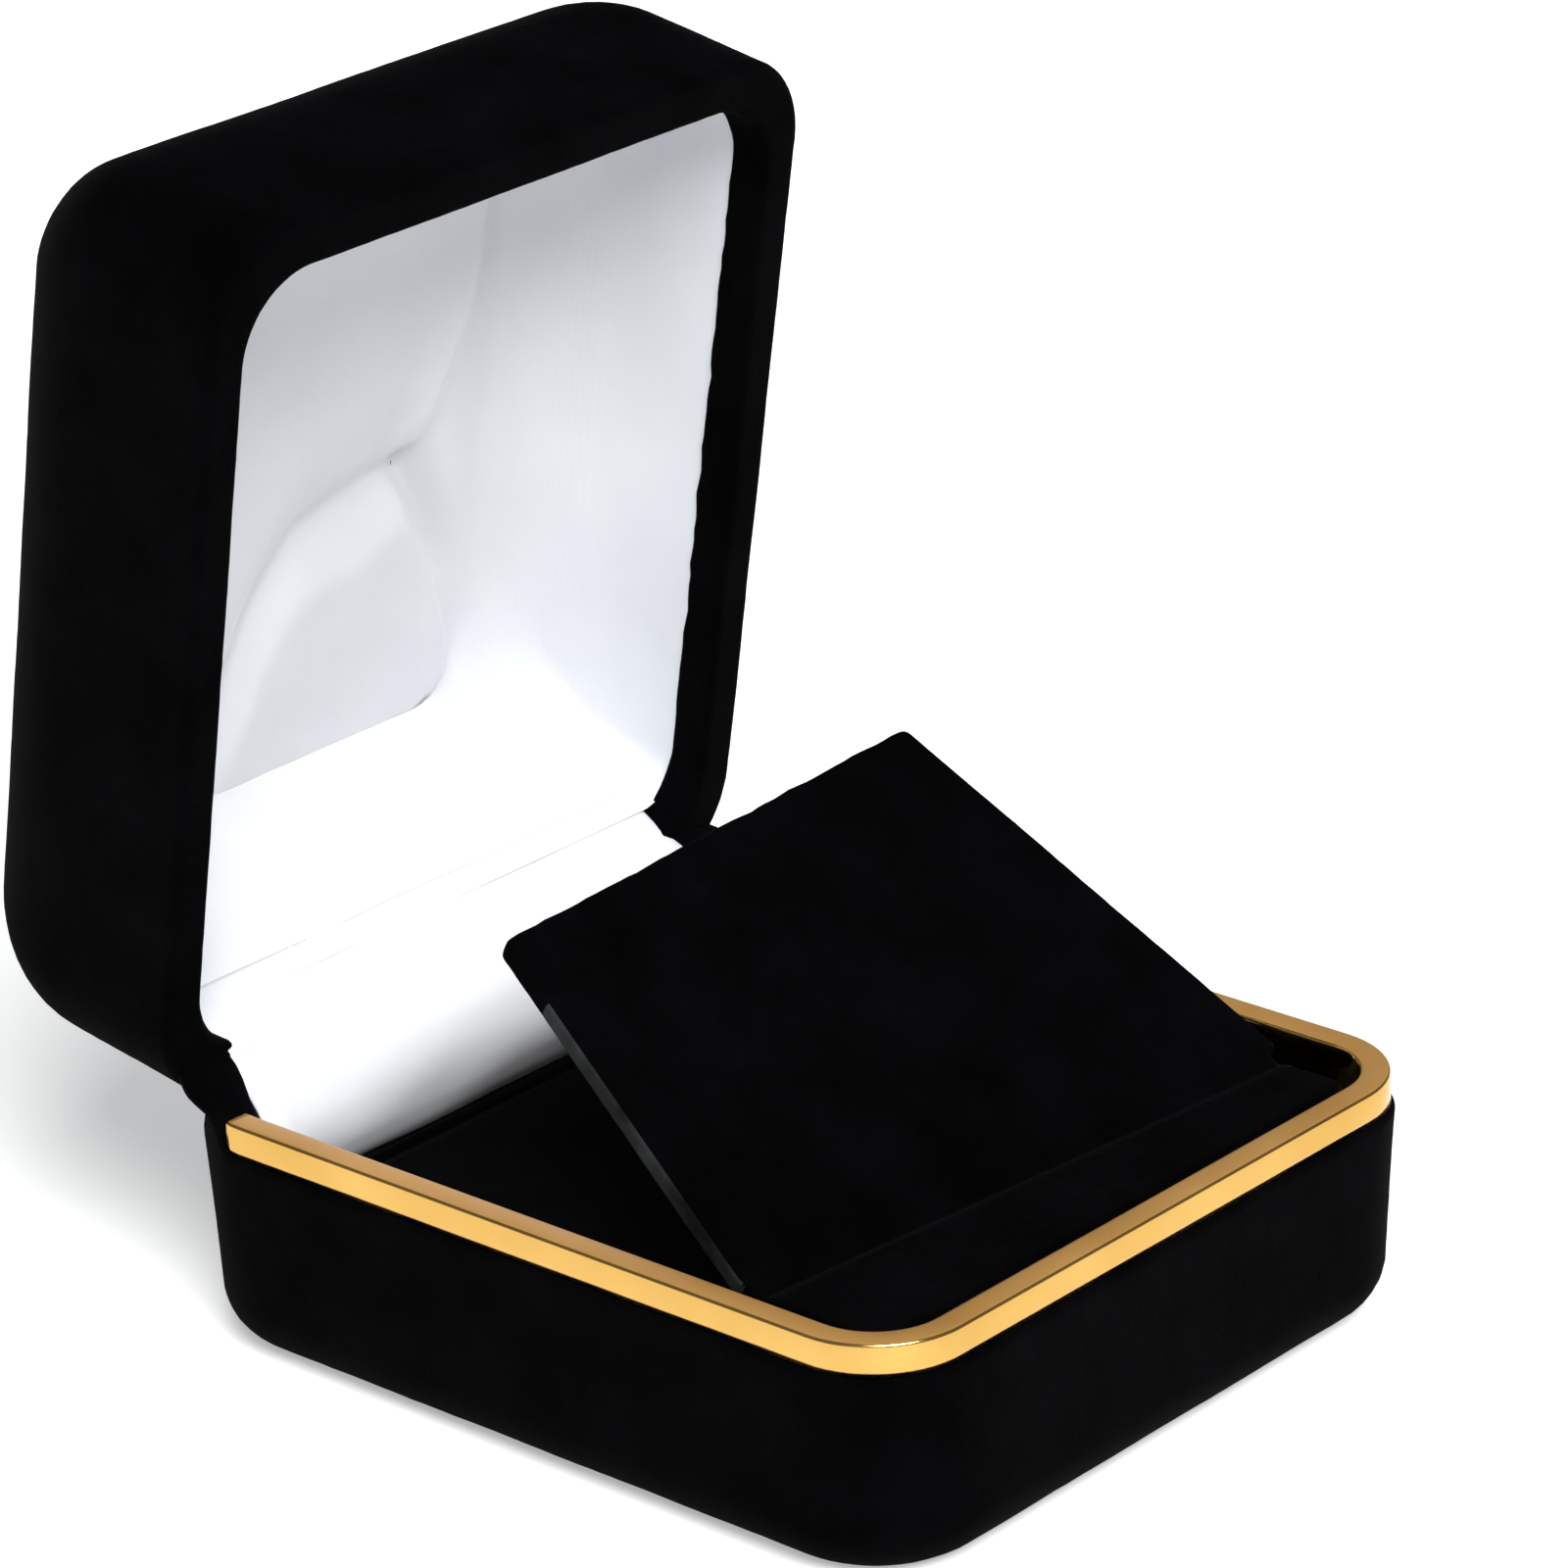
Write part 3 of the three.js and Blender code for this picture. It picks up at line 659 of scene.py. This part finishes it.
def hinge_strip():
    """Loose satin from the insert, up over the hinge, to the lining."""
    across = 96
    spans = 64
    points = []
    for k in range(spans + 1):
        y, z, slope = apron_place(k / spans)
        out = Vector((0, -slope.y, slope.x))
        up = smoothstep(15.5, 19.0, z)
        half = lerp(24.15, 23.75, up)
        for j in range(across + 1):
            x = lerp(-half, half, j / across)
            place = Vector((x, y, z))
            bulge = 0.18 * noise.noise(Vector((x * 0.12, y * 0.35, z * 0.35)))
            pucker, share = near_line([(-23.7, 32.0), (-22.1, 31.1), (-18.2, 30.8), (-15.0, 30.9)], x, y)
            bulge -= 0.5 * math.exp(-((pucker / 0.45) ** 2)) * (1 - share) * up
            curl = smoothstep(1.6, 0.0, half - abs(x))
            points.append(place + out * (bulge - 0.55 * curl) + Vector((0, 0, -0.1 * curl)))
    faces = grid_faces(spans + 1, across + 1)
    piece = mesh_object("hinge_strip", [p * MM for p in points], faces, "white_satin")
    thicken(piece, 0.00025)
    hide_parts("hinge_apron")
    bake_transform(piece)
    return piece


def hinge_tongue(side):
    """The velvet that closes the corner between the base's post and the lid's rim."""
    across = 12
    spans = 24
    points = []
    for k in range(spans + 1):
        t = k / spans
        y, z, _ = apron_place(lerp(0.285, 0.928, t))
        outer = 27.7 - 1.5 * smoothstep(29.5, 33.5, y)
        inner = lerp(24.9, 22.3, smoothstep(0.25, 0.9, t))
        for j in range(across + 1):
            u = j / across
            x = lerp(inner, outer, u)
            arch = 0.5 * math.sin(math.pi * min(u * 1.4, 1.0)) - 1.1 * u * u
            lift = 0.9 * smoothstep(0.0, 0.35, u) * smoothstep(0.95, 0.4, t)
            points.append(Vector((side * x, y, z - 0.35 + 0.35 * arch + 0.25 * lift)))
    faces = grid_faces(spans + 1, across + 1)
    if side < 0:
        faces = [tuple(reversed(face)) for face in faces]
    name = "hinge_tongue_left" if side < 0 else "hinge_tongue_right"
    piece = mesh_object(name, [p * MM for p in points], faces, "black_velvet")
    thicken(piece, 0.0005)
    roughen(piece, 0.02, 0.05, 19.0)
    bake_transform(piece)
    return piece


# ---- insert ----

TRAY_INSET = 3.4
TRAY_REAR_Y = 24.2
PAD_Z = 11.1
TRAY_CORNER_R = 4.8


def tray_ring(inset, z, height=None):
    front = TRAY_INSET - D_MM
    half_d = max((TRAY_REAR_Y - front) / 2 - inset, 0.2)
    half_w = max(W_MM - TRAY_INSET - inset, 0.2)
    radius = min(max(TRAY_CORNER_R - inset, 0.3), half_w, half_d)
    ring = rounded_ring(half_w, half_d, radius, z, (TRAY_REAR_Y + front) / 2, 8, (40, 44))
    if height is not None:
        for point in ring:
            point.z = height(point)
    return ring


def tray_top(point):
    """The tray's rim is high beside the flap and low at the hinge, where the lid's lining comes down."""
    return lerp(14.3, PAD_Z + 0.15, smoothstep(20.0, 21.0, point.y))


def insert_cover():
    """Velvet over the tray: its walls, a rounded lip, and a slightly crowned floor pad."""
    rows = [tray_ring(0.0, 4.0), tray_ring(0.0, 7.0)]
    rows += [tray_ring(0.0, 7.0, lambda p, s=k / 6: lerp(7.0, tray_top(p) - 0.4, s)) for k in range(1, 7)]
    for a in quarter(8)[1:] + [math.pi / 2 + q for q in quarter(8)[1:]]:
        inset = 0.4 * (1 - math.cos(a))
        rows.append(tray_ring(inset, 0.0, lambda p, d=0.4 * (1 - math.sin(a)): tray_top(p) - d))
    rows += [
        tray_ring(0.8, 0.0, lambda p, s=k / 5: lerp(tray_top(p) - 0.4, min(PAD_Z - 0.35, tray_top(p)), s))
        for k in range(1, 6)
    ]
    rows += [
        tray_ring(1.0 + 0.3 * k, PAD_Z - 0.35 + 0.35 * math.sin(math.pi / 2 * k / 4)) for k in range(5)
    ]
    rows += [tray_ring(lerp(2.6, 24.5, k / 26), PAD_Z) for k in range(1, 27)]
    piece = ring_piece("insert_cover", rows, "black_velvet")
    roughen(piece, 0.02, 0.08, 5.0)
    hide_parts("insert_tray", "insert_pad")
    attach(piece, "base")
    return piece


# ---- flap, ledge and the fold between them, drawn flat ----

FLAP_FRONT_X = (-24.5, 25.0)
FLAP_REAR_X = (-18.4, 21.8)
FLAP_REAR_Y = 12.9
FLAP_FRONT = 0.9
FLAP_THICK = 1.4
FOLD_SKEW = -FOLD_AXIS.y / FOLD_AXIS.x
FOLD_MM = FOLD / MM


def fold_y(x, offset=0.0):
    return FOLD_MM.y - FOLD_SKEW * x + offset


def slab_piece(name, outline, top, thick, edge, slot, flat_steps=26):
    """A soft-edged slab over an outline of points, its faces finely divided for the nap."""
    centre = sum(outline, Vector()) / len(outline)

    def ring(inset, z):
        moved = []
        size = len(outline)
        for i, point in enumerate(outline):
            before, after = outline[i - 1], outline[(i + 1) % size]
            tangent = (after - before).normalized()
            moved.append(point + Vector((-tangent.y, tangent.x, 0)) * inset + Vector((0, 0, z)))
        return moved

    def inner(share, z):
        start = ring(edge, z)
        return [p.lerp(centre + Vector((0, 0, z)), share) for p in start]

    rows = [inner(1 - k / flat_steps * 0.999, top - thick) for k in range(1, flat_steps + 1)]
    rows += [ring(edge * (1 - math.sin(a)), top - thick + edge * (1 - math.cos(a))) for a in quarter(5)]
    rows += [ring(edge * (1 - math.cos(a)), top - edge * (1 - math.sin(a))) for a in quarter(5)]
    rows += [inner(k / flat_steps * 0.999, top) for k in range(1, flat_steps + 1)]
    return ring_piece(name, rows, slot)


def outline_between(corners, step=0.8, radius=0.7):
    """Points round a polygon with small rounded corners, evenly spaced, anticlockwise."""
    points = []
    size = len(corners)
    for i, corner in enumerate(corners):
        before, after = corners[i - 1], corners[(i + 1) % size]
        back = (before - corner).normalized() * radius
        ahead = (after - corner).normalized() * radius
        for t in (0.0, 0.25, 0.5, 0.75):
            a, b = corner + back, corner + ahead
            points.append(a.lerp(corner, t).lerp(corner.lerp(b, t), t))
        start, end = corner + ahead, after + (corner - after).normalized() * radius
        count = max(int((end - start).length / step), 1)
        points += [start.lerp(end, k / count) for k in range(count)]
    return points


def flap_outline():
    left, right = FLAP_FRONT_X
    rear_left, rear_right = FLAP_REAR_X
    corners = [
        Vector((left, fold_y(left, FLAP_FRONT), 0)),
        Vector((right, fold_y(right, FLAP_FRONT), 0)),
        Vector((rear_right, FLAP_REAR_Y, 0)),
        Vector((rear_left, FLAP_REAR_Y, 0)),
    ]
    outline = outline_between(corners)
    for point in outline:
        if point.y > FLAP_REAR_Y - 0.3:
            slow = 0.16 * noise.noise(Vector((point.x * 0.45, 2.0, 0)))
            point.y += slow + 0.05 * noise.noise(point * 2.5)
    return outline


def flap_cover():
    piece = slab_piece("flap_cover", flap_outline(), FOLD_MM.z, FLAP_THICK, 0.35, "black_velvet", 40)
    roughen(piece, 0.03, 0.05, 11.0)
    # Side faces of the flap near the fold take the lighter velvet: a painted highlight along the flap's edges.
    piece.data.materials.append(MATERIALS["painted_highlight_velvet"])
    for polygon in piece.data.polygons:
        on_edge = abs(polygon.normal.x) > 0.55 and polygon.center.y < 0.0075
        polygon.material_index = 1 if on_edge else 0
    transform_piece(piece, flap_to_rest)
    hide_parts("flap_velvet")
    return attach(piece, "flap")


def ledge_cover():
    half = W_MM - 4.5
    front = -D_MM + 4.5
    corners = [
        Vector((-half, front, 0)),
        Vector((half, front, 0)),
        Vector((half, fold_y(half, -FLAP_FRONT), 0)),
        Vector((-half, fold_y(-half, -FLAP_FRONT), 0)),
    ]
    outline = outline_between(corners, 0.8, 1.2)
    piece = slab_piece("ledge_cover", outline, FOLD_MM.z - 0.1, 0.65, 0.3, "black_velvet", 24)
    roughen(piece, 0.025, 0.05, 13.0)
    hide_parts("ledge_velvet")
    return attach(piece, "base")


def fold_cover():
    """The velvet that bends between the ledge and the flap."""
    span = FLAP_FRONT + 0.5
    across = 120
    turn = (
        Matrix.Translation(FOLD_MM)
        @ Matrix.Rotation(FLAP_UP, 4, FOLD_AXIS)
        @ Matrix.Translation(-FOLD_MM)
    )
    rows = []
    for k in range(13):
        t = k / 12
        row = []
        for j in range(across + 1):
            x = lerp(-24.0, 24.0, j / across)
            flat = Vector((x, fold_y(x, lerp(-span, span, t)), FOLD_MM.z - 0.12))
            bent = turn @ flat
            place = flat.lerp(bent, smoothstep(0.25, 0.75, t))
            sag = 0.28 * math.exp(-(((t - 0.5) / 0.22) ** 2))
            row.append(place - Vector((0, 0, sag)))
        rows.append(row)
    points = [p * MM for row in rows for p in row]
    piece = mesh_object("fold_cover", points, grid_faces(len(rows), across + 1), "black_velvet")
    thicken(piece, 0.0004)
    roughen(piece, 0.02, 0.03, 17.0)
    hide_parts("flap_fold")
    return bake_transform(piece)


# ---- stage, lights and camera ----

SKY_COLOUR = (0.88, 0.93, 1.0, 1.0)
SKY_STRENGTH = 0.22
FLOOR_GLOW = 0.4
SUN_SOURCE = (-0.36, -0.62, 0.80)
SUN_STRENGTH = 4.8
SUN_SPREAD = 38.0
EYE_PLACE = (-0.3288, -0.2913, 0.2215)
EYE_FORWARD = (0.691, 0.613, -0.384)
EYE_RIGHT = (0.654, -0.756, -0.030)
EYE_LENS = 165.6


def area_light(name, location, target, size, power, colour=(1.0, 1.0, 1.0)):
    data = bpy.data.lights.new(name, "AREA")
    data.shape = "RECTANGLE"
    data.size, data.size_y = size
    data.energy = power
    data.color = colour
    light = bpy.data.objects.new(name, data)
    light.location = location
    light.rotation_euler = (Vector(target) - Vector(location)).to_track_quat("-Z", "Y").to_euler()
    bpy.context.scene.collection.objects.link(light)


def sun_light(name, source, strength, spread):
    """Soft light from a wide source far away, in the direction of source, spread degrees across."""
    data = bpy.data.lights.new(name, "SUN")
    data.energy = strength
    data.angle = math.radians(spread)
    light = bpy.data.objects.new(name, data)
    light.rotation_euler = Vector(source).to_track_quat("Z", "Y").to_euler()
    bpy.context.scene.collection.objects.link(light)


def floor_material():
    material, tree, shader = new_material("studio_floor")
    cloud = noise_value(tree, 3.0, 2.0)
    colour = colour_ramp(tree, cloud, [(0.3, (0.84, 0.84, 0.83)), (0.7, (0.87, 0.87, 0.86))])
    tree.links.new(colour, shader.inputs["Base Color"])
    shader.inputs["Roughness"].default_value = 0.6
    shader.inputs["Emission Color"].default_value = (1.0, 1.0, 1.0, 1.0)
    shader.inputs["Emission Strength"].default_value = FLOOR_GLOW
    return material


def studio():
    half = 6.0
    mesh = bpy.data.meshes.new("floor")
    corners = [(-half, -half, 0), (half, -half, 0), (half, half, 0), (-half, half, 0)]
    mesh.from_pydata(corners, [], [(0, 1, 2, 3)])
    mesh.materials.append(floor_material())
    floor = bpy.data.objects.new("floor", mesh)
    bpy.context.scene.collection.objects.link(floor)
    world = bpy.data.worlds.new("studio")
    world.use_nodes = True
    world.node_tree.nodes["Background"].inputs["Color"].default_value = SKY_COLOUR
    world.node_tree.nodes["Background"].inputs["Strength"].default_value = SKY_STRENGTH
    bpy.context.scene.world = world
    sun_light("overhead", SUN_SOURCE, SUN_STRENGTH, SUN_SPREAD)
    area_light("front", (-0.75, -0.35, 0.16), (0.0, 0.0, 0.015), (0.5, 0.25), 0.15, (1.0, 0.97, 0.92))
    scene = bpy.context.scene
    scene.view_settings.view_transform = "Standard"
    scene.view_settings.look = "None"


def camera():
    """The viewing angle: from the front left, a little above, with a long lens and a slight roll."""
    data = bpy.data.cameras.new("camera")
    data.lens = EYE_LENS
    data.sensor_width = 36.0
    data.clip_start = 0.01
    place = Vector(EYE_PLACE)
    forward = Vector(EYE_FORWARD).normalized()
    right = Vector(EYE_RIGHT)
    right = (right - right.dot(forward) * forward).normalized()
    up = right.cross(forward)
    turn = Matrix((right, up, -forward)).transposed().to_4x4()
    eye = bpy.data.objects.new("camera", data)
    eye.matrix_world = Matrix.Translation(place) @ turn
    bpy.context.scene.collection.objects.link(eye)
    bpy.context.scene.camera = eye


def finish_cad_nodes():
    """Gives every CAD node the finish of its own slot."""
    slots = {part["node"]: part["material_slot"] for part in frame["record"]["subparts"]}
    for name, node in nodes.items():
        node.data.materials.clear()
        node.data.materials.append(MATERIALS[slots[name]])


camera()
studio()
finish_cad_nodes()
base_cover()
gold_band()
insert_cover()
ledge_cover()
flap_cover()
fold_cover()
lid_cover()
lid_lining()
hinge_strip()
hinge_tongue(-1)
hinge_tongue(1)
